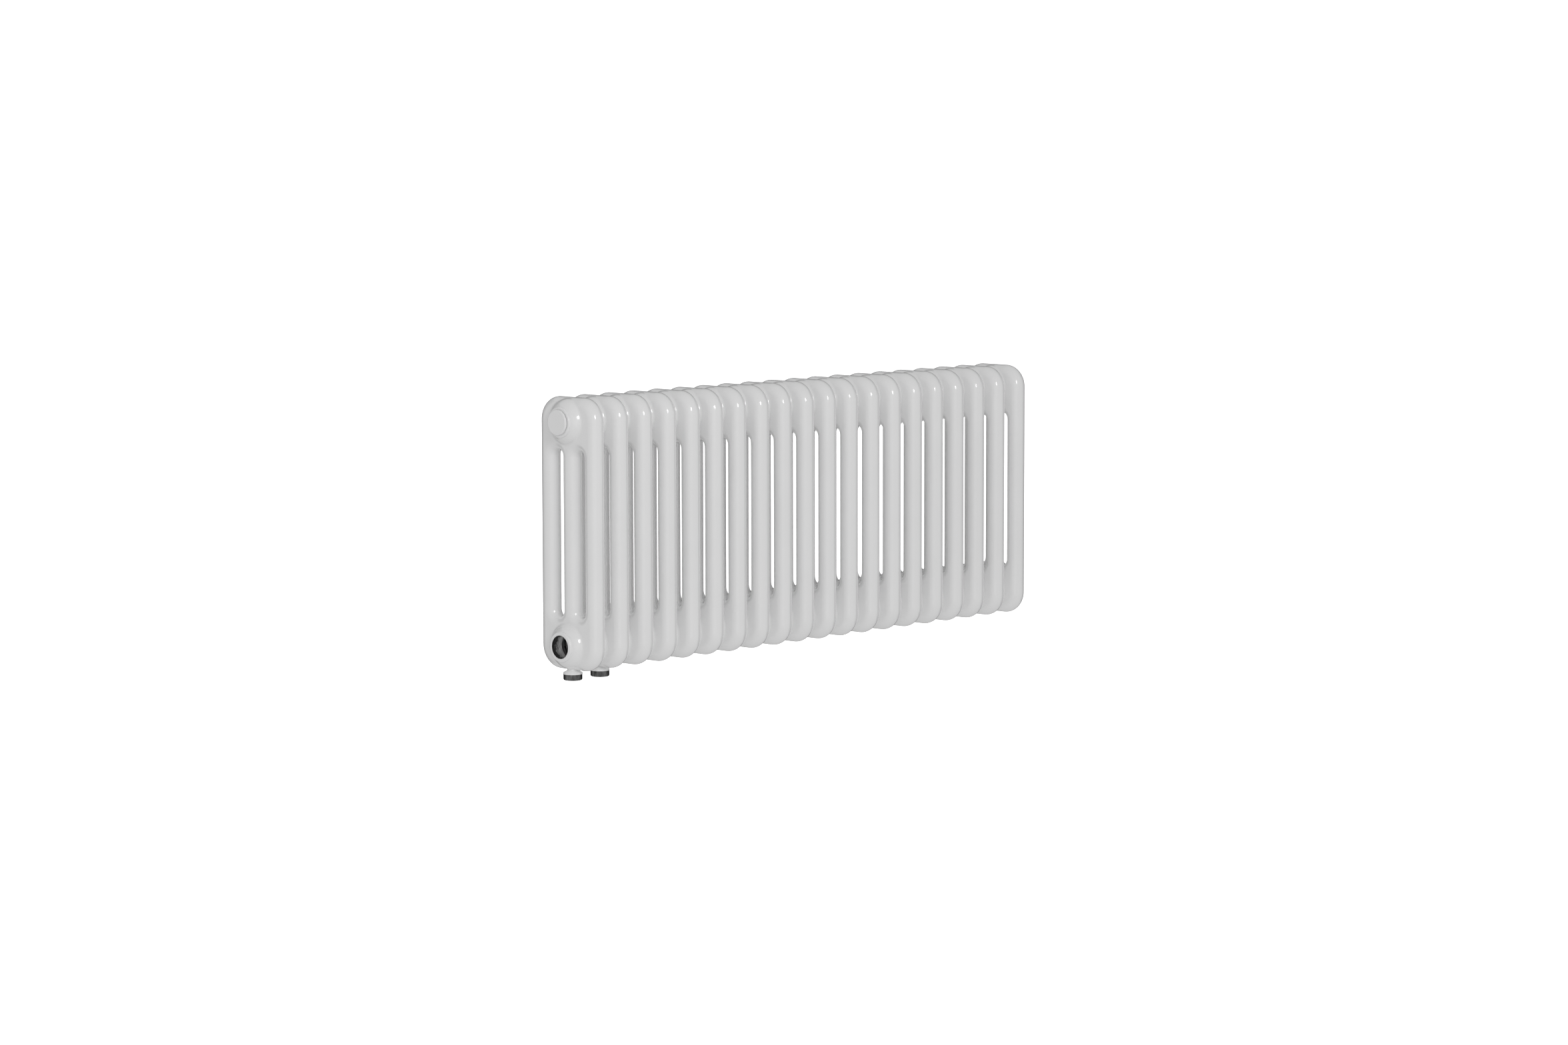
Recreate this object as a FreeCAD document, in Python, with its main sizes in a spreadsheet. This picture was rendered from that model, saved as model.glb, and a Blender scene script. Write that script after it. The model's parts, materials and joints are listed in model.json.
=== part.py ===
import FreeCAD, Part
import math
import os

import Sketcher
from FreeCAD import Placement, Rotation, Vector

# A wall-hung column radiator, welded from steel tube, in millimetres.
# X runs along the row of sections, Y from the room towards the wall, Z up.
# The origin is the hanging point: halfway along the row, on the underside of the upper
# hub necks, which is the line that the wall brackets' hooks carry.

doc = FreeCAD.newDocument("column_radiator")

# ---------------------------------------------------------------- driving dimensions

DRIVING = {
    # the row
    "section_count": 20,
    "section_pitch": 45.0,
    "column_pitch": 41.5,
    "hub_spacing": 300.0,
    "hub_to_edge": 32.5,
    # tubes and pressed heads
    "tube_radius": 12.5,
    "sheet": 1.5,
    "corner_radius": 31.5,
    "arch_to_hub": 47.0,
    "stub_length": 6.0,
    # hubs, which swell from the heads' flat sides to the welds between sections
    "neck_radius": 20.5,
    "dome_radius": 31.0,
    "dome_start": 8.5,
    "dome_arc": 20.0,
    "dome_blend": 4.0,
    # threaded end bushes
    "bush_proud": 3.5,
    "bush_length": 19.0,
    "bush_body_radius": 18.8,
    "bush_round": 1.5,
    "hub_thread_radius": 15.15,
    "thread_chamfer": 0.5,
    # blanking plugs, seals and the vent's plug
    "seal_thickness": 0.8,
    "seal_radius": 16.3,
    "seal_bore_radius": 15.2,
    "flange_radius": 17.0,
    "flange_thickness": 3.1,
    "flange_round": 1.0,
    "shank_radius": 15.0,
    "shank_length": 12.0,
    "plug_end_wall": 3.0,
    "plug_hollow_radius": 11.5,
    # air vent
    "nose_radius": 6.5,
    "nose_length": 5.0,
    "lip_radius": 6.9,
    "lip_thickness": 0.5,
    "vent_bore_radius": 4.0,
    "orifice_radius": 1.5,
    "seat_thickness": 1.5,
    "running_gap": 0.1,
    "collar_radius": 9.5,
    "collar_gap": 0.3,
    "groove_width": 2.0,
    "groove_depth": 1.0,
    "nozzle_reach": 13.0,
    "nozzle_radius": 2.0,
    "outlet_radius": 0.9,
    "screw_key": 5.0,
    "screw_proud": 1.0,
    "screw_radius": 3.9,
    "screw_tip_radius": 1.3,
    "screw_tip_length": 1.8,
    "screw_head_length": 2.4,
    # bottom spigots
    "spigot_spacing": 50.0,
    "spigot_radius": 13.0,
    "spigot_neck_radius": 7.5,
    "spigot_channel_radius": 6.0,
    "spigot_thread_radius": 9.316,
    "spigot_thread_depth": 10.5,
    "spigot_drop": 13.6,
    "spigot_shoulder_drop": 3.0,
    "spigot_neck_drop": 0.4,
    "spigot_round": 2.0,
    "spigot_rise": 9.0,
    # flow divider
    "divider_thickness": 1.5,
}

sheet = doc.addObject("Spreadsheet::Sheet", "Dimensions")
for row, (alias, number) in enumerate(DRIVING.items(), start=1):
    sheet.set(f"A{row}", alias)
    sheet.set(f"B{row}", str(number))
    sheet.setAlias(f"B{row}", alias)
doc.recompute()


class Size:
    """A dimension that knows its value and the expression that ties it to the sheet."""

    def __init__(self, value, text):
        self.value = float(value)
        self.text = text

    def __add__(self, other):
        other = size(other)
        return Size(self.value + other.value, f"({self.text} + {other.text})")

    def __sub__(self, other):
        other = size(other)
        return Size(self.value - other.value, f"({self.text} - {other.text})")

    def __mul__(self, other):
        other = size(other)
        return Size(self.value * other.value, f"({self.text} * {other.text})")

    def __truediv__(self, other):
        other = size(other)
        return Size(self.value / other.value, f"({self.text} / {other.text})")

    def __neg__(self):
        return Size(-self.value, f"(-{self.text})")

    __radd__ = __add__


def size(given):
    """A Size from an alias of the sheet, a plain number or another Size."""
    if isinstance(given, Size):
        return given
    if isinstance(given, str):
        return Size(getattr(sheet, given), f"Dimensions.{given}")
    return Size(given, f"({given})" if given < 0 else str(given))


pitch = size("section_pitch")
column = size("column_pitch")
tube = size("tube_radius")
wall = size("sheet")
neck = size("neck_radius")
half_pitch = pitch / 2
arch_to_hub = size("arch_to_hub")
elbow = size("corner_radius") - tube
run_height = arch_to_hub + "hub_to_edge" - tube
stub = size("stub_length")

upper_hub = neck
lower_hub = neck - "hub_spacing"
lower_edge = lower_hub - "hub_to_edge"
row_end = size("section_count") / 2 * pitch
OVERLAP = 1.0  # how far a cutting form runs past an open face


def section_x(number):
    """Where a section's middle plane stands along the row."""
    return (size(number) - (size("section_count") + 1) / 2) * pitch


# ---------------------------------------------------------------- object helpers

ALONG_X = Rotation(Vector(0, 1, 0), 90)
HALF_TURN_ABOUT_X = Rotation(Vector(1, 0, 0), 180)
HALF_TURN_ABOUT_Z = Rotation(Vector(0, 0, 1), 180)


def about_x(degrees):
    """A turn about X that comes after a form's axis has been laid along X."""
    return Rotation(Vector(1, 0, 0), degrees) * ALONG_X


def about_z(degrees):
    return Rotation(Vector(0, 0, 1), degrees)


def bind(thing, sizes):
    """Tie properties to the sheet, given as a dict of property name to size."""
    for name, given in sizes.items():
        thing.setExpression(name, size(given).text)


def place(thing, at, turn=Rotation()):
    spot = [size(given) for given in at]
    thing.Placement = Placement(Vector(*[given.value for given in spot]), turn)
    bind(thing, {f"Placement.Base.{axis}": given for axis, given in zip("xyz", spot)})
    return thing


def box(name, length, width, height, at):
    thing = doc.addObject("Part::Box", name)
    bind(thing, {"Length": length, "Width": width, "Height": height})
    return place(thing, at)


def cylinder(name, radius, height, at, turn=Rotation(), angle=360):
    thing = doc.addObject("Part::Cylinder", name)
    bind(thing, {"Radius": radius, "Height": height})
    thing.Angle = angle
    return place(thing, at, turn)


OUTER_RIM = (-90, 0)
INNER_RIM = (-180, -90)


def rim(name, radius, edge, section, sweep, at, turn):
    """A ring whose section is a quarter of a disc: section is its range of angles."""
    thing = doc.addObject("Part::Torus", name)
    bind(thing, {"Radius1": radius, "Radius2": edge})
    thing.Angle1, thing.Angle2 = section
    thing.Angle3 = sweep
    return place(thing, at, turn)


def fuse(name, things):
    joined = doc.addObject("Part::MultiFuse", name)
    joined.Shapes = things
    return joined


def cut(name, base, tool):
    result = doc.addObject("Part::Cut", name)
    result.Base, result.Tool = base, tool
    return result


# ---------------------------------------------------------------- sketch helpers


def origin_plane(body, role):
    return next(f for f in body.Origin.OriginFeatures if f.Role == role)


def new_sketch(body, name, role):
    sketch = body.newObject("Sketcher::SketchObject", name)
    sketch.AttachmentSupport = [(origin_plane(body, role), "")]
    sketch.MapMode = "FlatFace"
    return sketch


def hold(sketch, kind, where, given, name):
    """Add a dimension and tie it to the sheet."""
    index = sketch.addConstraint(Sketcher.Constraint(kind, *where, size(given).value))
    sketch.renameConstraint(index, name)
    sketch.setExpression(f"Constraints.{name}", size(given).text)


def arc_between(start, end, radius):
    """An arc from start to end; a positive radius turns anticlockwise, a negative one clockwise."""
    chord = end - start
    reach = math.sqrt(max(radius**2 - (chord.Length / 2) ** 2, 0))
    across = Vector(-chord.y, chord.x).normalize()
    middle = (start + end) / 2 + across * math.copysign(reach, radius)
    first, last = (start, end) if radius > 0 else (end, start)
    angles = [math.atan2(p.y - middle.y, p.x - middle.x) for p in (first, last)]
    return Part.ArcOfCircle(Part.Circle(middle, Vector(0, 0, 1), abs(radius)), *angles)


def outline(sketch, corners):
    """A closed outline. A corner is (x, y), or (x, y, radius) where an arc arrives at it."""
    spots = [(size(c[0]), size(c[1])) for c in corners]
    points = [Vector(x.value, y.value) for x, y in spots]
    starts = []
    for n, corner in enumerate(corners):
        before = n - 1
        if len(corner) == 2:
            geo = sketch.addGeometry(Part.LineSegment(points[before], points[n]))
            starts.append((geo, 1, 2))
            continue
        bend = size(corner[2])
        geo = sketch.addGeometry(arc_between(points[before], points[n], bend.value))
        starts.append((geo, 1, 2) if bend.value > 0 else (geo, 2, 1))
        hold(sketch, "Radius", (geo,), bend if bend.value > 0 else -bend, f"bend_{n}")
    for n, (geo, start, _) in enumerate(starts):
        previous, _, end = starts[n - 1]
        sketch.addConstraint(Sketcher.Constraint("Coincident", previous, end, geo, start))
        x, y = spots[n - 1]
        if x.value == 0:
            sketch.addConstraint(Sketcher.Constraint("PointOnObject", geo, start, -2))
        else:
            hold(sketch, "DistanceX", (-1, 1, geo, start), x, f"across_{n}")
        if y.value == 0:
            sketch.addConstraint(Sketcher.Constraint("PointOnObject", geo, start, -1))
        else:
            hold(sketch, "DistanceY", (-1, 1, geo, start), y, f"along_{n}")


def turned(name, axis, corners):
    """A body turned about X (corners are x, radius) or about Z (corners are radius, z)."""
    body = doc.addObject("PartDesign::Body", name)
    sketch = new_sketch(body, f"{name}_profile", "XZ_Plane")
    outline(sketch, corners)
    turn = body.newObject("PartDesign::Revolution", f"{name}_turning")
    turn.Profile = sketch
    turn.ReferenceAxis = (sketch, ["H_Axis" if axis == "X" else "V_Axis"])
    turn.Angle = 360
    return body


# ---------------------------------------------------------------- pressed heads
# A head's own frame: X = 0 is the middle plane where its two half-shells are welded, and
# Z = 0 is the height where the arches between the columns spring.


def head_form(name, edge, dome, past=0):
    """The right half of an upper head, filled in, with its rims rounded to the radius edge.

    dome is the profile of the hub about its axis, and past is how far the form runs
    beyond the stubs' ends and the middle plane.
    """
    shoulder = run_height - elbow
    inner = column - elbow
    web = box(f"{name}_web", edge, column * 2, shoulder, (0, -column, 0))
    rims = []
    for side, middle in (("front", -column / 2), ("rear", column / 2)):
        arch = cylinder(f"{name}_{side}_opening", column / 2, edge, (0, middle, 0), ALONG_X)
        web = cut(f"{name}_web_{side}_cut", web, arch)
        rims.append(
            rim(f"{name}_{side}_arch", column / 2, edge, INNER_RIM, 180, (0, middle, 0), about_x(90))
        )
    for side, sign, first, quadrant in (("front", -1, 180, -90), ("rear", 1, 90, 0)):
        bend = (0, inner * sign, shoulder)
        rims += [
            cylinder(f"{name}_{side}_corner", elbow, edge, bend, about_x(first), 90),
            rim(f"{name}_{side}_elbow", elbow, edge, OUTER_RIM, 90, bend, about_x(first)),
            cylinder(
                f"{name}_{side}_side", edge, shoulder, (0, column * sign, 0), about_z(quadrant), 90
            ),
        ]
    top_web = box(f"{name}_top_web", edge, inner * 2, elbow, (0, -inner, shoulder))
    top_turn = Rotation(Vector(1, 0, 0), -90) * about_z(-90)
    top_run = cylinder(f"{name}_top_run", edge, inner * 2, (0, -inner, run_height), top_turn, 90)
    reach = stub + past
    stubs = [
        cylinder(f"{name}_{side}_stub", edge, reach, (0, middle, -reach), about_z(-90), 180)
        for side, middle in (("front", -column), ("middle", 0), ("rear", column))
    ]
    hub = turned(f"{name}_hub", "X", dome)
    place(hub, (0, 0, arch_to_hub))
    return fuse(f"{name}_form", [web, top_web, top_run, *rims, *stubs, hub])


outer_form = head_form(
    "outside", tube,
    [
        (0, 0), (0, "dome_radius"), ("dome_start", "dome_radius"),
        (half_pitch, neck, -size("dome_arc")), (half_pitch, 0),
    ],
)
neck_bore = neck - wall
dome_bore = size("dome_radius") - wall
water_form = head_form(
    "water", tube - wall,
    [
        (0, 0), (0, dome_bore), (size("dome_start") - wall, dome_bore),
        (half_pitch - wall, neck_bore, -size("dome_arc")),
        (half_pitch + OVERLAP, neck_bore), (half_pitch + OVERLAP, 0),
    ],
    past=OVERLAP,
)
doc.recompute()


RIM_DEPTH = 8.0  # how far below the head's flat side the dome's foot may run, over the rims
NEAR = 2.0


def at_dome_foot(edge):
    """Whether an edge runs round the foot of the hub's dome, on the head's side or rim."""
    dome = size("dome_radius").value
    span = edge.LastParameter - edge.FirstParameter
    for share in (0, 0.5, 1):
        spot = edge.valueAt(edge.FirstParameter + share * span)
        from_axis = math.hypot(spot.y, spot.z - arch_to_hub.value)
        below_side = tube.value - spot.x
        if abs(from_axis - dome) > NEAR or not -NEAR / 2 < below_side < RIM_DEPTH:
            return False
    return True


blended_form = doc.addObject("Part::Fillet", "outside_blended")
blended_form.Base = outer_form
blend = size("dome_blend").value
blended_form.Edges = [
    (number, blend, blend)
    for number, edge in enumerate(outer_form.Shape.Edges, start=1)
    if at_dome_foot(edge)
]
doc.recompute()

# ---------------------------------------------------------------- sections

right_shell = cut("right_shell", blended_form, water_form)
left_shell = doc.addObject("Part::Mirroring", "left_shell")
left_shell.Source = right_shell
left_shell.Normal = Vector(1, 0, 0)

nodes = {}


def keep(thing, label):
    """Give a finished sub-part its name, which is also its file's name."""
    thing.Label = label
    nodes[label] = thing
    return thing


def head(name, at, turn=Rotation()):
    """A head: its two half-shells, meeting on its middle plane."""
    pair = doc.addObject("Part::Compound", name)
    pair.Links = [right_shell, left_shell]
    return place(pair, at, turn)


upper_spring = upper_hub - arch_to_hub
lower_spring = lower_hub + arch_to_hub
section_count = int(size("section_count").value)
spigot_offset = (size("spigot_spacing") - pitch) / 2
spigot_x = {1: section_x(1) - spigot_offset, 2: section_x(2) + spigot_offset}

for number in range(1, section_count + 1):
    x = section_x(number)
    upper = f"top_head_{number:02d}"
    lower = f"bottom_head_{number:02d}"
    keep(head(upper, (x, 0, upper_spring)), upper)
    if number not in spigot_x:
        keep(head(lower, (x, 0, lower_spring), HALF_TURN_ABOUT_X), lower)
        continue
    undrilled = head(f"undrilled_head_{number:02d}", (x, 0, lower_spring), HALF_TURN_ABOUT_X)
    drill = cylinder(
        f"spigot_hole_{number:02d}", "spigot_neck_radius", size("spigot_rise") + OVERLAP,
        (spigot_x[number], 0, lower_edge - OVERLAP),
    )
    keep(cut(lower, undrilled, drill), lower)


def tube_row(name, y):
    """One row of identical tubes, each standing between an upper and a lower stub."""
    row_of_tubes = doc.addObject("PartDesign::Body", name)
    row_of_tubes.AllowCompound = True
    sketch = new_sketch(row_of_tubes, f"{name}_section", "XY_Plane")
    for ring, radius in (("outer", tube), ("inner", tube - wall)):
        circle = sketch.addGeometry(Part.Circle(Vector(), Vector(0, 0, 1), radius.value))
        hold(sketch, "Radius", (circle,), radius, f"{ring}_radius")
        sketch.addConstraint(Sketcher.Constraint("Coincident", circle, 3, -1, 1))
    pad = row_of_tubes.newObject("PartDesign::Pad", f"{name}_pad")
    pad.Profile = sketch
    bind(pad, {"Length": upper_spring - lower_spring - stub * 2})
    pattern = row_of_tubes.newObject("PartDesign::LinearPattern", f"{name}_pattern")
    pattern.Originals = [pad]
    pattern.Direction = (origin_plane(row_of_tubes, "X_Axis"), [""])
    bind(pattern, {"Length": pitch * (size("section_count") - 1), "Occurrences": "section_count"})
    row_of_tubes.Tip = pattern
    return place(row_of_tubes, (section_x(1), y, lower_spring + stub))


for name, y in (("front_tubes", -column), ("middle_tubes", 0), ("rear_tubes", column)):
    keep(tube_row(name, y), name)

# ---------------------------------------------------------------- hub ends
# Each corner of the radiator, with the turn that points a piece's +X out of that end.

thread = size("hub_thread_radius")
chamfer = size("thread_chamfer")
bush_face = size("bush_proud")
bush_corner = bush_face - "bush_round"
LEFT, RIGHT = HALF_TURN_ABOUT_Z, Rotation()
corner_places = {
    "top_left": ((-row_end, 0, upper_hub), LEFT),
    "bottom_left": ((-row_end, 0, lower_hub), LEFT),
    "top_right": ((row_end, 0, upper_hub), RIGHT),
    "bottom_right": ((row_end, 0, lower_hub), RIGHT),
}

for corner, (at, turn) in corner_places.items():
    bush = turned(
        f"end_bush_{corner}", "X",
        [
            (bush_face - "bush_length", thread), (bush_face - "bush_length", "bush_body_radius"),
            (0, "bush_body_radius"), (0, neck), (bush_corner, neck),
            (bush_face, neck - "bush_round", -size("bush_round")),
            (bush_face, thread + chamfer), (bush_face - chamfer, thread),
        ],
    )
    keep(place(bush, at, turn), f"end_bush_{corner}")

# Plug profiles start from the bush's outer face.
seat = bush_face + "seal_thickness"
shank = size("shank_radius")
shank_end = bush_face - "shank_length"
plug_face = seat + "flange_thickness"
flange_corner = plug_face - "flange_round"
hollow_end = plug_face - "plug_end_wall"
hollow = size("plug_hollow_radius")
plug_outside = [
    (shank_end, hollow), (shank_end, shank), (seat, shank), (seat, "flange_radius"),
    (flange_corner, "flange_radius"),
    (plug_face, size("flange_radius") - "flange_round", -size("flange_round")),
]

for corner in ("top_left", "bottom_right"):
    plug_inside = [(plug_face, 0), (hollow_end, 0), (hollow_end, hollow)]
    plug = turned(f"blanking_plug_{corner}", "X", [*plug_outside, *plug_inside])
    keep(place(plug, *corner_places[corner]), f"blanking_plug_{corner}")

for label, corner in (
    ("plug_seal_top_left", "top_left"),
    ("plug_seal_bottom_right", "bottom_right"),
    ("vent_seal", "top_right"),
):
    bore, rim_radius = size("seal_bore_radius"), size("seal_radius")
    section = [(bush_face, bore), (bush_face, rim_radius), (seat, rim_radius), (seat, bore)]
    seal = turned(label, "X", section)
    keep(place(seal, *corner_places[corner]), label)

# ---------------------------------------------------------------- air vent, top right

nose_end = plug_face + "nose_length"
lip_end = nose_end + "lip_thickness"
nose = size("nose_radius")
vent_bore = size("vent_bore_radius")
vent_seat = hollow_end + "seat_thickness"
gap = size("running_gap")
vent_at, vent_turn = corner_places["top_right"]
vent_x, _, vent_z = vent_at

vent_body = turned(
    "vent_plug_blank", "X",
    [
        *plug_outside, (plug_face, nose), (nose_end, nose),
        (nose_end, "lip_radius"), (lip_end, "lip_radius"), (lip_end, vent_bore),
        (vent_seat, vent_bore), (vent_seat, "orifice_radius"),
        (hollow_end, "orifice_radius"), (hollow_end, hollow),
    ],
)
place(vent_body, vent_at, vent_turn)
collar_start = plug_face + "collar_gap"
collar_end = nose_end - gap * 2
collar_middle = (collar_start + collar_end) / 2
DOWN = HALF_TURN_ABOUT_X
port = cylinder(
    "vent_port", "outlet_radius", "collar_radius", (vent_x + collar_middle, 0, vent_z), DOWN
)
keep(cut("vent_plug", vent_body, port), "vent_plug")

collar_bore = nose + gap
groove_start = collar_middle - size("groove_width") / 2
groove_end = collar_middle + size("groove_width") / 2
groove = collar_bore + "groove_depth"
collar_ring = turned(
    "vent_collar_ring", "X",
    [
        (collar_start, collar_bore), (collar_start, "collar_radius"), (collar_end, "collar_radius"),
        (collar_end, collar_bore), (groove_end, collar_bore), (groove_end, groove),
        (groove_start, groove), (groove_start, collar_bore),
    ],
)
place(collar_ring, vent_at, vent_turn)
nozzle_start = size("collar_radius") - OVERLAP
nozzle = cylinder(
    "vent_nozzle", "nozzle_radius", size("nozzle_reach") - nozzle_start,
    (vent_x + collar_middle, 0, vent_z - nozzle_start), DOWN,
)
outlet = cylinder(
    "vent_outlet", "outlet_radius", size("nozzle_reach") + OVERLAP - collar_bore,
    (vent_x + collar_middle, 0, vent_z - collar_bore), DOWN,
)
keep(cut("vent_collar", fuse("vent_collar_blank", [collar_ring, nozzle]), outlet), "vent_collar")

screw_tip = vent_seat + gap
screw_top = lip_end + "screw_proud"
screw_shoulder = screw_top - "screw_head_length"
screw_shank = turned(
    "vent_screw_shank", "X",
    [
        (screw_tip, 0), (screw_tip, "screw_tip_radius"),
        (screw_tip + "screw_tip_length", "screw_radius"),
        (screw_shoulder, "screw_radius"), (screw_shoulder, 0),
    ],
)
place(screw_shank, vent_at, vent_turn)
key = size("screw_key")
square_corner = (vent_x + screw_shoulder, -key / 2, vent_z - key / 2)
square = box("vent_screw_square", "screw_head_length", key, key, square_corner)
keep(fuse("vent_screw", [screw_shank, square]), "vent_screw")

# ---------------------------------------------------------------- bottom connection

spigot = size("spigot_radius")
spigot_end = -size("spigot_drop")
spigot_neck = size("spigot_neck_radius")
spigot_thread = size("spigot_thread_radius")
spigot_channel = size("spigot_channel_radius")
thread_end = spigot_end + "spigot_thread_depth"
for number, label in ((1, "flow_spigot"), (2, "return_spigot")):
    body = turned(
        label, "Z",
        [
            (spigot_channel, "spigot_rise"), (spigot_neck, "spigot_rise"),
            (spigot_neck, -size("spigot_neck_drop")),
            (spigot, -size("spigot_shoulder_drop")), (spigot, spigot_end + "spigot_round"),
            (spigot - "spigot_round", spigot_end, -size("spigot_round")),
            (spigot_thread + chamfer, spigot_end), (spigot_thread, spigot_end + chamfer),
            (spigot_thread, thread_end), (spigot_channel, thread_end + "sheet"),
        ],
    )
    keep(place(body, (spigot_x[number], 0, lower_edge)), label)

divider = cylinder(
    "flow_divider", neck_bore, "divider_thickness",
    (section_x(1) + half_pitch - size("divider_thickness") / 2, 0, lower_hub), ALONG_X,
)
keep(divider, "flow_divider")

# ---------------------------------------------------------------- checks and files

doc.recompute()
failed = [thing.Label for thing in doc.Objects if {"Invalid", "Error"} & set(thing.State)]
if failed:
    raise RuntimeError(f"failed to recompute: {failed}")
for label, thing in nodes.items():
    if thing.Shape.isNull() or not thing.Shape.isValid() or not thing.Shape.Solids:
        raise RuntimeError(f"{label} has no valid solid")

os.makedirs("parts", exist_ok=True)
for label, thing in nodes.items():
    thing.Shape.exportStep(f"parts/{label}.step")
print(f"{len(nodes)} sub-parts, {sum(len(thing.Shape.Solids) for thing in nodes.values())} solids")
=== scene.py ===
import json
import math

import bmesh
import bpy
from mathutils import Matrix, Vector


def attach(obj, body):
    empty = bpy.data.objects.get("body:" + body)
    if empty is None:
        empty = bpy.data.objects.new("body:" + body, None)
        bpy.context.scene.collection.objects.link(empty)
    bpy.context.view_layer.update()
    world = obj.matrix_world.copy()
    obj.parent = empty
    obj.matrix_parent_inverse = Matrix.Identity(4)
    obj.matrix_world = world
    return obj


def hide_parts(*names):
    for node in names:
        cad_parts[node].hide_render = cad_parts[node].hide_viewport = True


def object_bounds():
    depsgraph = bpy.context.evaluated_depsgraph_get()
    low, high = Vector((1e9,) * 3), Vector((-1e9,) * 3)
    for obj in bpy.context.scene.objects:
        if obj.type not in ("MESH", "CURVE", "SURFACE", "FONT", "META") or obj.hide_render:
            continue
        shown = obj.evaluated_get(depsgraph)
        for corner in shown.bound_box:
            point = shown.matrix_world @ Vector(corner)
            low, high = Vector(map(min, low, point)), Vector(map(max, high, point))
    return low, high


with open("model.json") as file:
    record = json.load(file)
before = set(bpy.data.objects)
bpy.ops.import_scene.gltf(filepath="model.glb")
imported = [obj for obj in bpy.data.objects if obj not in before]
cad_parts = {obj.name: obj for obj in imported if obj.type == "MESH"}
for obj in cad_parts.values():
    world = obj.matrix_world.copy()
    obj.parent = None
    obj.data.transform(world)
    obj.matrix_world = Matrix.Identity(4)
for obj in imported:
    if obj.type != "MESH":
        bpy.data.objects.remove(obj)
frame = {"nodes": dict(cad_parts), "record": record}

# A wall-hung column radiator in a plain white studio. Metres, in the CAD's frame.

cad_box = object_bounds()
MM = 0.001

# ---------------------------------------------------------------- helpers

# Sockets of a Mix node set to colours, which share their names with its other data types.
MIX_COLOUR_A, MIX_COLOUR_B, MIX_COLOUR_RESULT = 6, 7, 2


class Nodes:
    """Adds nodes to a node tree, with their settings and inputs given by name."""

    def __init__(self, tree):
        self.tree = tree

    def add(self, kind, inputs=None, **settings):
        node = self.tree.nodes.new(kind)
        for name, value in settings.items():
            setattr(node, name, value)
        for name, value in (inputs or {}).items():
            self.feed(node.inputs[name], value)
        return node

    def feed(self, socket, value):
        if isinstance(value, bpy.types.NodeSocket):
            self.tree.links.new(value, socket)
        else:
            socket.default_value = value

    def place(self):
        return self.add("ShaderNodeTexCoord").outputs["Object"]

    def noise(self, scale, detail=2.0, roughness=0.5, stretch=None):
        """Noise of the given size in millimetres, in object space."""
        at = self.place()
        if stretch:
            at = self.add("ShaderNodeMapping", {"Vector": at, "Scale": stretch}).outputs[0]
        node = self.add(
            "ShaderNodeTexNoise",
            {"Vector": at, "Scale": 1 / (scale * MM), "Detail": detail, "Roughness": roughness},
        )
        return node.outputs["Fac"]

    def map(self, value, from_low, from_high, to_low, to_high):
        node = self.add(
            "ShaderNodeMapRange",
            {
                "Value": value, "From Min": from_low, "From Max": from_high,
                "To Min": to_low, "To Max": to_high,
            },
        )
        return node.outputs["Result"]

    def math(self, operation, *values):
        node = self.add("ShaderNodeMath", dict(enumerate(values)), operation=operation)
        return node.outputs[0]

    def length(self, first, second):
        squares = self.math("POWER", first, 2), self.math("POWER", second, 2)
        return self.math("SQRT", self.math("ADD", *squares))

    def axes(self):
        """The object-space X, Y and Z of the point."""
        return self.add("ShaderNodeSeparateXYZ", {"Vector": self.place()}).outputs

    def mix_shader(self, share, first, second):
        node = self.add("ShaderNodeMixShader", {0: share, 1: first, 2: second})
        return node.outputs[0]

    def mix_colour(self, share, first, second):
        node = self.add("ShaderNodeMix", data_type="RGBA")
        self.feed(node.inputs["Factor"], share)
        self.feed(node.inputs[MIX_COLOUR_A], first)
        self.feed(node.inputs[MIX_COLOUR_B], second)
        return node.outputs[MIX_COLOUR_RESULT]

    def bump(self, height, distance, strength=1.0, normal=None):
        inputs = {"Height": height, "Distance": distance * MM, "Strength": strength}
        if normal:
            inputs["Normal"] = normal
        return self.add("ShaderNodeBump", inputs).outputs["Normal"]

    def shader(self, **inputs):
        names = {key.replace("_", " "): value for key, value in inputs.items()}
        return self.add("ShaderNodeBsdfPrincipled", names).outputs["BSDF"]


def new_material(name, surface):
    """A material whose surface is the shader that the function surface makes with its nodes."""
    material = bpy.data.materials.new(name)
    material.use_nodes = True
    material.node_tree.nodes.clear()
    n = Nodes(material.node_tree)
    n.add("ShaderNodeOutputMaterial", {"Surface": surface(n)})
    return material


def grey(level):
    return (level, level, level, 1.0)


def new_object(name, mesh):
    """An object in the scene with the bmesh as its mesh."""
    data = bpy.data.meshes.new(name)
    mesh.to_mesh(data)
    mesh.free()
    made = bpy.data.objects.new(name, data)
    bpy.context.scene.collection.objects.link(made)
    return made


# ---------------------------------------------------------------- materials

COAT_LOW, COAT_HIGH = 0.965, 0.98

# Sizes in the CAD that tell a coated sheet's inside from its outside.
PITCH = 45 * MM
FIRST_SECTION = -427.5 * MM
HUB_MIDDLE, HUB_REACH = -129.5 * MM, 150 * MM  # the hubs' axes are this far above and below
NECK_INSIDE = 19.8 * MM  # round the hub axis
HEAD_INSIDE = 30.2 * MM  # round the hub axis
HEAD_HALF_INSIDE = 11.8 * MM  # from the middle of the head, across it
HEAD_RIM_FROM = 20 * MM  # outwards of the hub axis, where the head's rim starts to round
BUSH_INSIDE = 15.3 * MM


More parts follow.
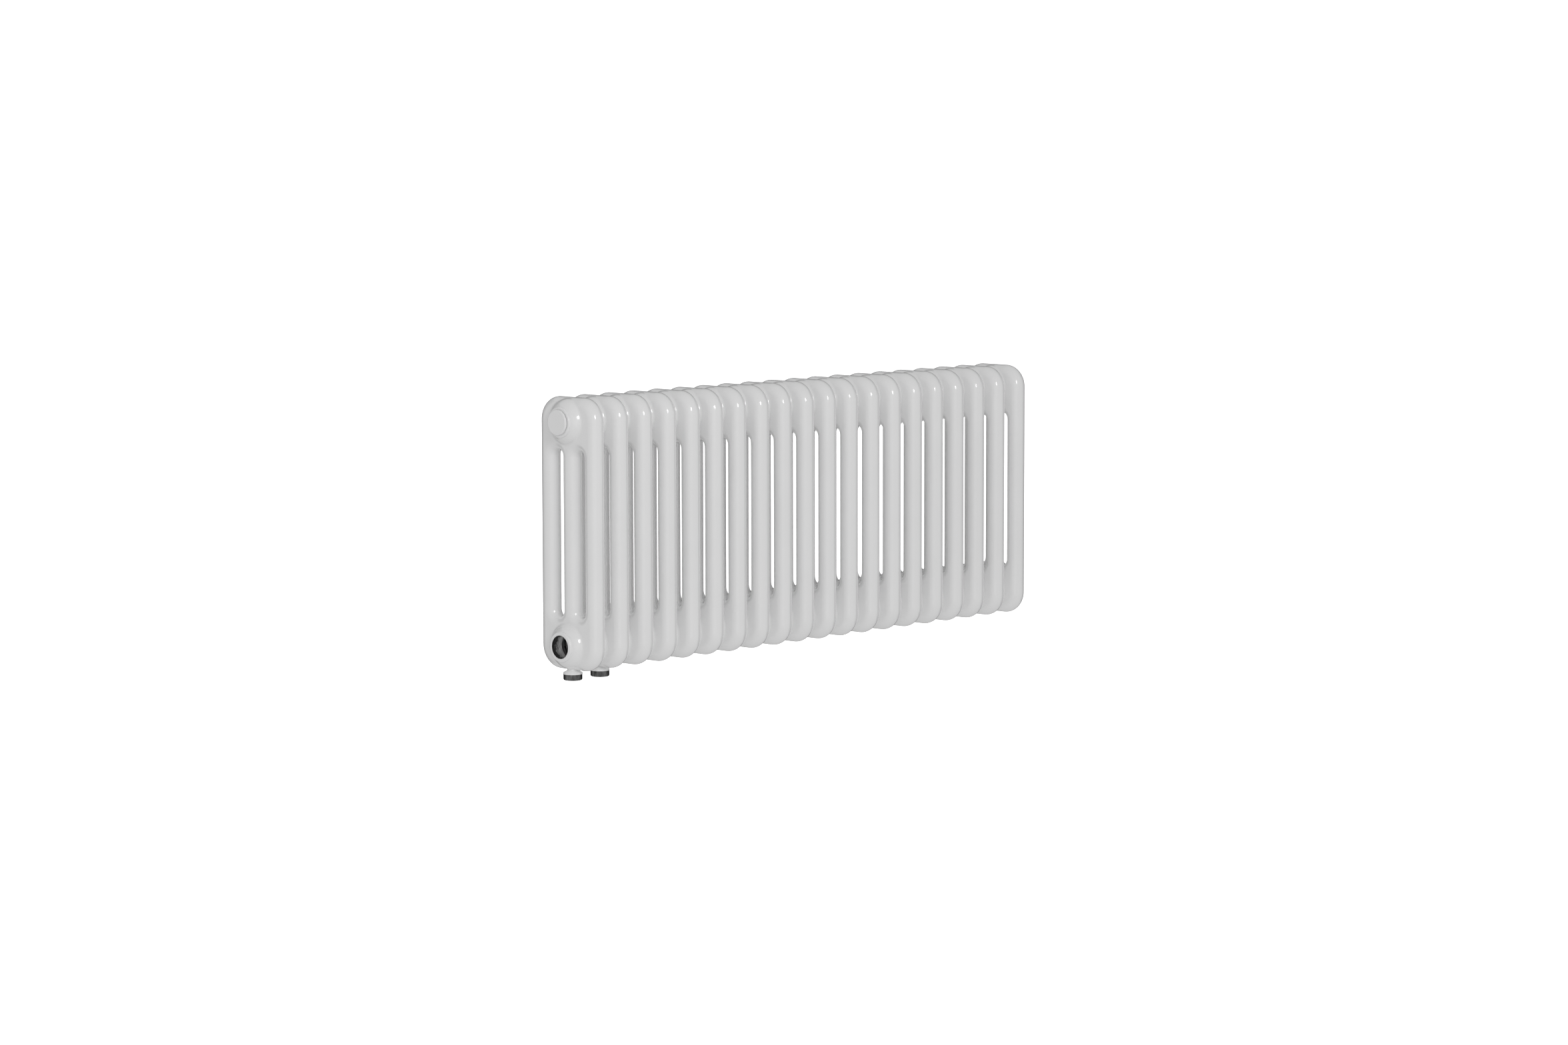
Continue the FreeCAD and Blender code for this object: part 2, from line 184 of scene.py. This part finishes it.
def gloss_coat(n):
    """Gloss white powder coat: a fine orange peel, and slight clouding of colour and gloss."""
    clouds = n.noise(60, detail=3)
    fine = n.noise(1.6, detail=2, roughness=0.6)
    peel = n.bump(fine, 0.01, 0.3)
    return n.shader(
        Base_Color=n.mix_colour(n.map(clouds, 0.35, 0.65, 0, 1), grey(COAT_LOW), grey(COAT_HIGH)),
        Roughness=n.map(fine, 0.3, 0.7, 0.30, 0.40),
        Normal=n.bump(n.noise(7, detail=1), 0.05, 0.2, peel),
        Specular_IOR_Level=0.25,
        Coat_Weight=1.0,
        Coat_Roughness=0.07,
        Coat_IOR=1.7,
    )


def raw_steel(n, low, high, tool_lines, streaks=(1, 1, 1)):
    """Bare steel, stained with oil, with fine tool lines across the stretched axis."""
    blotches = n.noise(6, detail=4, roughness=0.65, stretch=streaks)
    return n.shader(
        Base_Color=n.mix_colour(n.map(blotches, 0.35, 0.7, 0, 1), grey(low), grey(high)),
        Metallic=1.0,
        Roughness=n.map(blotches, 0.3, 0.7, 0.22, 0.4),
        Normal=n.bump(n.noise(0.35, detail=2, stretch=tool_lines), 0.02, 0.6),
    )


def hub_place(n):
    """The distance of the point from the nearer hub axis, and how far outwards of it."""
    _, y, z = n.axes()
    outwards = n.math("SUBTRACT", n.math("ABSOLUTE", n.math("SUBTRACT", z, HUB_MIDDLE)), HUB_REACH)
    return n.length(y, outwards), outwards


def coated(name, within):
    """White outside and bare steel inside; within gives the share that is inside."""
    def surface(n):
        return n.mix_shader(within(n), gloss_coat(n), raw_steel(n, 0.25, 0.5, (6, 1, 1)))
    return new_material(name, surface)


def inside_heads(n):
    """Nearer the hub axis than the shell is, in the necks and in the hollow heads between them."""
    from_middle = n.math("PINGPONG", n.math("SUBTRACT", n.axes()[0], FIRST_SECTION), PITCH / 2)
    distance, outwards = hub_place(n)
    in_neck = n.math("LESS_THAN", distance, NECK_INSIDE)
    above_rim = n.math("MAXIMUM", n.math("SUBTRACT", outwards, HEAD_RIM_FROM), 0)
    under_rim = n.math("LESS_THAN", n.length(above_rim, from_middle), HEAD_HALF_INSIDE)
    in_head = n.math("MULTIPLY", n.math("LESS_THAN", distance, HEAD_INSIDE), under_rim)
    return n.math("MAXIMUM", in_neck, in_head)


def inside_bush(n):
    return n.math("LESS_THAN", hub_place(n)[0], BUSH_INSIDE)


def turned_steel(n):
    """The spigots' steel, turned round the Z axis."""
    return raw_steel(n, 0.06, 0.26, (1, 1, 6), (1.2, 1.2, 0.3))


def seal_rubber(n):
    fine = n.noise(0.5, detail=3)
    return n.shader(
        Base_Color=n.mix_colour(fine, grey(0.02), grey(0.05)),
        Roughness=n.map(fine, 0.3, 0.7, 0.55, 0.75),
        Normal=n.bump(fine, 0.02, 0.5),
    )


def plated(name, first, second):
    """Satin plating or turned brass between two colours, with lines turned round the X axis."""
    def surface(n):
        lines = n.noise(0.25, detail=2, stretch=(6, 1, 1))
        blotches = n.noise(4, detail=3)
        return n.shader(
            Base_Color=n.mix_colour(blotches, first, second),
            Metallic=1.0,
            Roughness=n.map(blotches, 0.3, 0.7, 0.32, 0.45),
            Normal=n.bump(lines, 0.01, 0.5),
            Anisotropic=0.3,
        )
    return new_material(name, surface)


def moulded_plastic(n):
    fine = n.noise(0.8, detail=3)
    clouds = n.noise(12, detail=2)
    return n.shader(
        Base_Color=n.mix_colour(clouds, (0.80, 0.80, 0.785, 1), (0.84, 0.84, 0.83, 1)),
        Roughness=n.map(fine, 0.3, 0.7, 0.32, 0.42),
        Normal=n.bump(fine, 0.01, 0.4),
        Subsurface_Weight=0.08,
        Subsurface_Scale=0.002,
    )


FINISHES = {
    "white_coat": coated("white_coat_gloss", inside_heads),
    "bare_steel": new_material("bare_steel_turned", turned_steel),
    "seal_rubber": new_material("seal_rubber_black", seal_rubber),
    "nickel_plate": plated("nickel_plate_satin", (0.66, 0.64, 0.60, 1), (0.74, 0.72, 0.68, 1)),
    "white_plastic": new_material("white_plastic_moulded", moulded_plastic),
    "screw_brass": plated("screw_brass_turned", (0.66, 0.47, 0.22, 1), (0.74, 0.56, 0.30, 1)),
}
plain_coat = new_material("white_coat_plain", gloss_coat)
bush_finish = coated("white_coat_bush", inside_bush)
SPECIAL_FINISHES = {"end_bush": bush_finish, "blanking_plug": plain_coat}

node_slots = {part["node"]: part["material_slot"] for part in frame["record"]["subparts"]}
for name, node in frame["nodes"].items():
    node.data.materials.clear()
    finish = FINISHES[node_slots[name]]
    for start, special in SPECIAL_FINISHES.items():
        finish = special if name.startswith(start) else finish
    node.data.materials.append(finish)

# ---------------------------------------------------------------- threaded pieces
# The open hub at the bottom left and the two spigots show their threads, so they are
# turned again here with real ones, cut outwards from the CAD's bores. Millimetres, until
# turned_piece makes the mesh.

AROUND = 120
CREASE = math.radians(35)
PAINTED, BARE = 0, 1  # the finishes of a turned piece, in order


def tooth(turn):
    """The depth of a pipe thread, 0 to 1, at a turn: a triangle with a flat top and foot."""
    triangle = 1 - abs(2 * (turn % 1) - 1)
    return min(max(triangle * 1.3 - 0.15, 0), 1)


def thread(start, end, radius, depth, lead, steps):
    """Rings of a thread's bore from one end to the other, fading out over a twelfth at each."""
    rings = []
    for step in range(steps + 1):
        share = step / steps
        fade = min(share * 12, (1 - share) * 12, 1)
        rings.append((start + (end - start) * share, radius, depth * fade, lead))
    return rings


def turned_piece(name, node, rings, at, axis, finishes, finish_of):
    """A turned mesh that stands for a CAD node.

    rings run round the closed section as (along, radius) or (along, radius, depth, lead), and
    along is measured from the point at, in the direction of axis.
    """
    turn = Vector((0, 0, 1)).rotation_difference(Vector(axis)).to_matrix()
    mesh = bmesh.new()
    loops = []
    for along, radius, *cut in rings:
        loop = []
        for k in range(AROUND):
            share = k / AROUND
            deeper = cut[0] * tooth(along / cut[1] - share) if cut else 0
            angle = math.tau * share
            reach = radius + deeper
            spot = Vector((reach * math.cos(angle), reach * math.sin(angle), along))
            loop.append(mesh.verts.new((Vector(at) + turn @ spot) * MM))
        loops.append(loop)
    for number, loop in enumerate(loops):
        following = (number + 1) % len(loops)
        after = loops[following]
        finish = finish_of(rings[number], rings[following])
        for k in range(AROUND):
            face = mesh.faces.new((loop[k - 1], loop[k], after[k], after[k - 1]))
            face.material_index = finish
            face.smooth = True
    bmesh.ops.recalc_face_normals(mesh, faces=mesh.faces)
    piece = new_object(name, mesh)
    piece.data.set_sharp_from_angle(angle=CREASE)
    for finish in finishes:
        piece.data.materials.append(finish)
    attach(piece, "radiator")
    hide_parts(node)


def rounded(start, end, centre_at, radius, steps=6):
    """Ring points of a round from one angle to another, in degrees, about (along, radius)."""
    points = []
    for step in range(steps + 1):
        angle = math.radians(start + (end - start) * step / steps)
        points.append((
            centre_at[0] + radius * math.cos(angle), centre_at[1] + radius * math.sin(angle),
        ))
    return points


# The bush in the open hub, measured from its face.
BUSH_AT = (-453.5, 0, -279.5)
BUSH_LENGTH, BUSH_BODY, BUSH_ROUND = 19.0, 18.8, 1.5
NECK, NECK_END = 20.5, -3.5
G1_BORE, G1_DEPTH, G1_LEAD = 15.15, 1.3, 2.309
SHADE_FULL_TO, SHADE_GONE_FROM = -447, -440  # along the X axis, where the painted shade at the bore's mouth is full and where it has faded out
bush_rings = [
    (-BUSH_LENGTH, G1_BORE), (-BUSH_LENGTH, BUSH_BODY), (NECK_END, BUSH_BODY), (NECK_END, NECK),
    *rounded(90, 0, (-BUSH_ROUND, NECK - BUSH_ROUND), BUSH_ROUND),
    (0, G1_BORE + 0.7), (-0.25, G1_BORE + 0.5),
    *thread(-0.6, -BUSH_LENGTH + 0.5, G1_BORE, G1_DEPTH, G1_LEAD, 90),
]


def bush_face_finish(ring, after):
    """Bare inside the bore and painted outside it."""
    return BARE if max(ring[1], after[1]) < G1_BORE + 0.6 else PAINTED


def shaded_mouth_thread(n):
    """Bare thread with painted shade: black near the mouth and lighter deeper in."""
    blotches = n.noise(5, detail=4, roughness=0.7)
    depth = n.math("ADD", n.axes()[0], n.map(blotches, 0.3, 0.7, -3 * MM, 3 * MM))
    # Painted shade: the thread's colour goes from black at the mouth to grey deeper in, with a
    # ragged edge.
    shade_fades = n.map(depth, SHADE_FULL_TO * MM, SHADE_GONE_FROM * MM, 0, 1)
    return n.shader(
        Base_Color=n.mix_colour(shade_fades, grey(0.05), grey(0.55)),
        Metallic=1.0,
        Roughness=n.map(blotches, 0.3, 0.7, 0.25, 0.45),
        Normal=n.bump(n.noise(0.35, detail=2, stretch=(6, 1, 1)), 0.02, 0.6),
    )


# The open bore's thread carries painted shade at its mouth.
turned_piece(
    "open_hub_bush", "end_bush_bottom_left", bush_rings, BUSH_AT, (-1, 0, 0),
    [bush_finish, new_material("bare_thread_painted_shade", shaded_mouth_thread)], bush_face_finish,
)

# The two spigots, measured up from the heads' lower edge.
LOWER_EDGE = -312.0
SPIGOT, SPIGOT_NECK, SPIGOT_CHANNEL, SPIGOT_ROUND = 13.0, 7.5, 6.0, 2.0
SPIGOT_TOP, SPIGOT_FACE = 9.0, -13.6
PAINT_EDGE, PAINT_STEP = -5.5, 0.2  # where the paint ends, and how much it stands out
BARE_WITHIN = 7.0
G12_BORE, G12_DEPTH, G12_LEAD = 9.316, 1.0, 1.814
bare_spigot = SPIGOT - PAINT_STEP
spigot_rings = [
    (SPIGOT_TOP, SPIGOT_CHANNEL), (SPIGOT_TOP, SPIGOT_NECK), (-0.4, SPIGOT_NECK),
    (-3.0, SPIGOT - 0.6), (-3.5, SPIGOT), (PAINT_EDGE, SPIGOT), (PAINT_EDGE - 0.1, bare_spigot),
    *rounded(90, 180, (SPIGOT_FACE + SPIGOT_ROUND, bare_spigot - SPIGOT_ROUND), SPIGOT_ROUND),
    (SPIGOT_FACE, G12_BORE + 0.6),
    *thread(SPIGOT_FACE + 0.4, SPIGOT_FACE + 10.3, G12_BORE, G12_DEPTH, G12_LEAD, 60),
    (SPIGOT_FACE + 12, SPIGOT_CHANNEL),
]


def spigot_finish(ring, after):
    """Painted outside down to the paint's edge, and bare below it and in the bore."""
    above_edge = ring[0] >= PAINT_EDGE and after[0] > PAINT_EDGE - 0.2
    return PAINTED if above_edge and max(ring[1], after[1]) > BARE_WITHIN else BARE


for node, x in (("flow_spigot", -430), ("return_spigot", -380)):
    turned_piece(
        f"threaded_{node}", node, spigot_rings, (x, 0, LOWER_EDGE), (0, 0, 1),
        [plain_coat, FINISHES["bare_steel"]], spigot_finish,
    )

# ---------------------------------------------------------------- studio

box_low, box_high = cad_box
centre = (box_low + box_high) / 2

FLOOR_DROP = 0.12
SWEEP_RADIUS, SWEEP_HEIGHT, SWEEP_BEND = 25.0, 12.0, 4.0
SWEEP_SIDES, BEND_STEPS = 64, 8
CARD_RADIUS, CARD_HALF_HEIGHT = 6.0, 4.0
CARD_START, CARD_SPREAD, CARD_STEPS = -36, 160, 32  # degrees round from +X, behind the object


def round_point(radius, angle, height):
    return (radius * math.cos(angle), radius * math.sin(angle), height)


def emitting(colour, roughness, strength):
    def surface(n):
        return n.shader(
            Base_Color=grey(colour), Roughness=roughness,
            Emission_Color=grey(1), Emission_Strength=strength,
        )
    return surface


def studio_sweep():
    """A round pale floor that turns up into a wall far behind the object, on every side."""
    mesh = bmesh.new()
    flat = SWEEP_RADIUS - SWEEP_BEND
    profile = [(flat, 0.0)]
    for step in range(1, BEND_STEPS + 1):
        angle = math.radians(90 * step / BEND_STEPS)
        profile.append((
            flat + SWEEP_BEND * math.sin(angle), SWEEP_BEND - SWEEP_BEND * math.cos(angle),
        ))
    profile.append((SWEEP_RADIUS, SWEEP_HEIGHT))
    floor = box_low.z - FLOOR_DROP
    rings = [
        [
            mesh.verts.new(round_point(radius, math.tau * k / SWEEP_SIDES, floor + height))
            for k in range(SWEEP_SIDES)
        ]
        for radius, height in profile
    ]
    mesh.faces.new(rings[0])
    for lower, upper in zip(rings, rings[1:]):
        for k in range(SWEEP_SIDES):
            mesh.faces.new((lower[k], lower[k - 1], upper[k - 1], upper[k]))
    return new_object("studio_sweep", mesh)


def edge_flags():
    """A tall dark half-round card behind the object, so that its edges read."""
    mesh = bmesh.new()
    posts = []
    for step in range(CARD_STEPS + 1):
        angle = math.radians(CARD_START + CARD_SPREAD * step / CARD_STEPS)
        posts.append([
            mesh.verts.new(round_point(CARD_RADIUS, angle, height))
            for height in (-CARD_HALF_HEIGHT, CARD_HALF_HEIGHT)
        ])
    for left, right in zip(posts, posts[1:]):
        mesh.faces.new((left[0], right[0], right[1], left[1]))
    return new_object("edge_flags", mesh)


# Only the camera sees the floor and wall, and only reflections see the dark card.
sweep = studio_sweep()
sweep.visible_diffuse = False
sweep.visible_glossy = False
sweep.visible_shadow = False
sweep.data.materials.append(new_material("studio_pale", emitting(0.9, 0.8, 1.0)))

flags = edge_flags()
flags.visible_camera = False
flags.visible_diffuse = False
flags.visible_shadow = False
flags.data.materials.append(new_material("studio_dark", emitting(0.02, 0.9, 0.04)))

scene = bpy.context.scene
scene.cycles.diffuse_bounces = 16  # white paint in narrow gaps passes light on many times
scene.cycles.max_bounces = 24
scene.view_settings.view_transform = "Standard"

# The world is a little dimmer behind and above the object than in front of it and below.
BEHIND_AND_ABOVE = (0.48, 0.64, 0.60)
FRONT_LEVEL, BACK_LEVEL = 0.535, 0.475
world = bpy.data.worlds.new("studio_world")
scene.world = world
world.use_nodes = True
w = Nodes(world.node_tree)
facing = w.add("ShaderNodeTexCoord").outputs["Generated"]
behind = w.add(
    "ShaderNodeVectorMath", {0: facing, 1: BEHIND_AND_ABOVE}, operation="DOT_PRODUCT",
).outputs["Value"]
background = world.node_tree.nodes["Background"]
w.feed(background.inputs["Color"], grey(1))
w.feed(background.inputs["Strength"], w.map(behind, -0.3, 0.6, FRONT_LEVEL, BACK_LEVEL))


def soft_light(name, size, power, towards, distance):
    """A round area light in the given direction from the object's middle."""
    data = bpy.data.lights.new(name, "AREA")
    data.shape = "DISK"
    data.size = size
    data.energy = power
    light = bpy.data.objects.new(name, data)
    scene.collection.objects.link(light)
    away = Vector(towards).normalized()
    light.location = centre + away * distance
    light.rotation_euler = away.to_track_quat("Z", "Y").to_euler()


soft_light("key_soft", 0.85, 12.5, (-0.494, -0.785, 0.374), 3.2)
soft_light("fill_front", 2.8, 4.5, (-0.76, -0.65, 0.06), 3.6)

# ---------------------------------------------------------------- camera

CAMERA_AT = (-4.3286, -4.1136, 0.4876)
AZIMUTH, ELEVATION, ROLL = -46.3162, 6.0751, -0.0984  # degrees, found from the photograph
LENS = 98.292

camera_data = bpy.data.cameras.new("camera")
camera = bpy.data.objects.new("camera", camera_data)
scene.collection.objects.link(camera)
scene.camera = camera
camera_data.lens = LENS
camera_data.sensor_width = 36.0
camera_data.clip_start, camera_data.clip_end = 0.1, 100.0
camera.matrix_world = (
    Matrix.Translation(CAMERA_AT)
    @ Matrix.Rotation(math.radians(AZIMUTH), 4, "Z")
    @ Matrix.Rotation(math.radians(90 - ELEVATION), 4, "X")
    @ Matrix.Rotation(math.radians(ROLL), 4, "Z")
)
